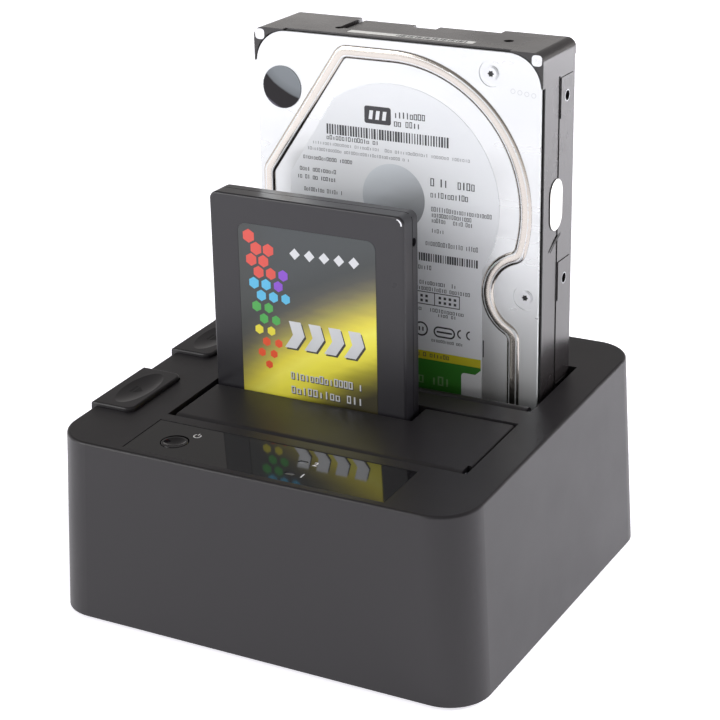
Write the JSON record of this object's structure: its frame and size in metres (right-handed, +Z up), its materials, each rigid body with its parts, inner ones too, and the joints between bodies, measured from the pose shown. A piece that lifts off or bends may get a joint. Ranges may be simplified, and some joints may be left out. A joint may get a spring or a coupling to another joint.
{
  "type": "drive duplicator",
  "caption": "Desktop drive duplicator dock with sprung bay flaps, eject buttons, an indicator panel, and a hard drive and a solid state drive seated upright.",
  "frame": {"origin": "on the surface that the feet stand on, under the middle of the housing", "axes": "+Z up; +Y from the front, where the indicator panel is, to the rear, where the ports are; +X to the right of someone who faces the front"},
  "size_m": [0.15, 0.14, 0.177],
  "materials": {
    "black_shell": "fine satin moulded ABS",
    "black_inner": "moulded ABS",
    "black_gloss": "polished ABS",
    "button_plastic": "satin moulded ABS",
    "natural_acetal": "moulded acetal",
    "foot_rubber": "soft moulded",
    "steel": "zinc plated",
    "spring_steel": "drawn wire",
    "shell_steel": "nickel plated",
    "board": "solder mask",
    "clear": "moulded clear acrylic",
    "chip": "moulded epoxy",
    "can": "drawn can",
    "casting": "black coated casting",
    "stamped_cover": "satin stamped",
    "gasket": "moulded",
    "label": "printed film",
    "seal_film": "film",
    "plug_plastic": "moulded, glass filled",
    "ssd_case": "fine satin coat"
  },
  "bodies": {
    "housing": {"upper_housing": "black_shell", "base_cover": "black_inner", "rubber_feet": "foot_rubber", "housing_screws": "steel", "drive_cradle": "black_inner", "cradle_screws": "steel", "indicator_panel": "black_gloss", "light_pipes": "clear", "control_board": "board", "control_board_screws": "steel", "tact_switch": "black_inner", "main_board": "board", "main_board_screws": "steel", "usb_port": "shell_steel", "power_jack": "plug_plastic", "bridge_chips": "chip", "capacitors": "can", "front_flap_pin": "steel", "front_button_spring": "spring_steel", "front_lever_pin": "steel", "front_drive_socket": "plug_plastic", "rear_flap_pin": "steel", "rear_button_spring": "spring_steel", "rear_lever_pin": "steel", "rear_drive_socket": "plug_plastic"},
    "power_button": {"power_button": "button_plastic"},
    "hdd": {"hdd_casting": "casting", "hdd_cover": "stamped_cover", "hdd_gasket": "gasket", "hdd_cover_screws": "steel", "hdd_label": "label", "hdd_seal": "seal_film", "hdd_board": "board", "hdd_board_screws": "steel", "hdd_plug": "plug_plastic"},
    "ssd": {"ssd_cover": "ssd_case", "ssd_base": "ssd_case", "ssd_screws": "steel", "ssd_label": "label", "ssd_plug": "plug_plastic"},
    "front_eject_button": {"front_eject_button": "button_plastic", "front_button_clip": "spring_steel"},
    "front_lever": {"front_lever": "natural_acetal"},
    "front_lifter": {"front_lifter": "natural_acetal"},
    "front_flap": {"front_flap": "black_shell", "front_flap_spring": "spring_steel"},
    "rear_eject_button": {"rear_eject_button": "button_plastic", "rear_button_clip": "spring_steel"},
    "rear_lever": {"rear_lever": "natural_acetal"},
    "rear_lifter": {"rear_lifter": "natural_acetal"},
    "rear_flap": {"rear_flap": "black_shell", "rear_flap_spring": "spring_steel"}
  },
  "joints": [
    {"name": "power_press", "type": "slide", "parent": "housing", "child": "power_button", "axis": [0, 0, -1], "range_m": [0, 0.0005], "stiffness_N_per_m": 1200, "springref_m": -0.0008},
    {"name": "front_eject_press", "type": "slide", "parent": "housing", "child": "front_eject_button", "axis": [0, 0, -1], "range_m": [0, 0.0035], "stiffness_N_per_m": 500, "springref_m": -0.004, "deforming": ["front_button_spring"]},
    {"name": "front_lever_turn", "type": "hinge", "parent": "housing", "child": "front_lever", "pos_m": [-0.053, -0.014, 0.014], "axis": [0, -1, 0], "range_deg": [0, 20.47]},
    {"name": "front_lift", "type": "slide", "parent": "housing", "child": "front_lifter", "axis": [0, 0, 1], "range_m": [0, 0.00485]},
    {"name": "rear_eject_press", "type": "slide", "parent": "housing", "child": "rear_eject_button", "axis": [0, 0, -1], "range_m": [0, 0.0035], "stiffness_N_per_m": 500, "springref_m": -0.004, "deforming": ["rear_button_spring"]},
    {"name": "rear_lever_turn", "type": "hinge", "parent": "housing", "child": "rear_lever", "pos_m": [-0.053, 0.0332, 0.014], "axis": [0, -1, 0], "range_deg": [0, 20.47]},
    {"name": "rear_lift", "type": "slide", "parent": "housing", "child": "rear_lifter", "axis": [0, 0, 1], "range_m": [0, 0.00485]},
    {"name": "front_flap_turn", "type": "hinge", "parent": "housing", "child": "front_flap", "pos_m": [0.0068, -0.0371, 0.06018], "axis": [-1, 0, 0], "range_deg": [0, 85], "stiffness_Nm_per_rad": 0.002, "springref_deg": -114.59},
    {"name": "rear_flap_turn", "type": "hinge", "parent": "housing", "child": "rear_flap", "pos_m": [0.0068, 0.0101, 0.06224], "axis": [-1, 0, 0], "range_deg": [-84.2, 0]},
    {"name": "ssd_removal", "type": "slide", "parent": "front_lifter", "child": "ssd", "axis": [0, 0, 1], "range_m": [0, 0.105]},
    {"name": "hdd_removal", "type": "slide", "parent": "rear_lifter", "child": "hdd", "axis": [0, 0, 1], "range_m": [0, 0.153]}
  ],
  "couplings": [
    {"joint": "front_lever_turn", "follows": "front_eject_press", "rad_per_m": 100.07},
    {"joint": "front_lift", "follows": "front_eject_press", "ratio": 1.3725},
    {"joint": "rear_lever_turn", "follows": "rear_eject_press", "rad_per_m": 100.07},
    {"joint": "rear_lift", "follows": "rear_eject_press", "ratio": 1.3725},
    {"joint": "rear_flap_turn", "follows": "hdd_removal", "rad_per_m": -9.5822}
  ]
}
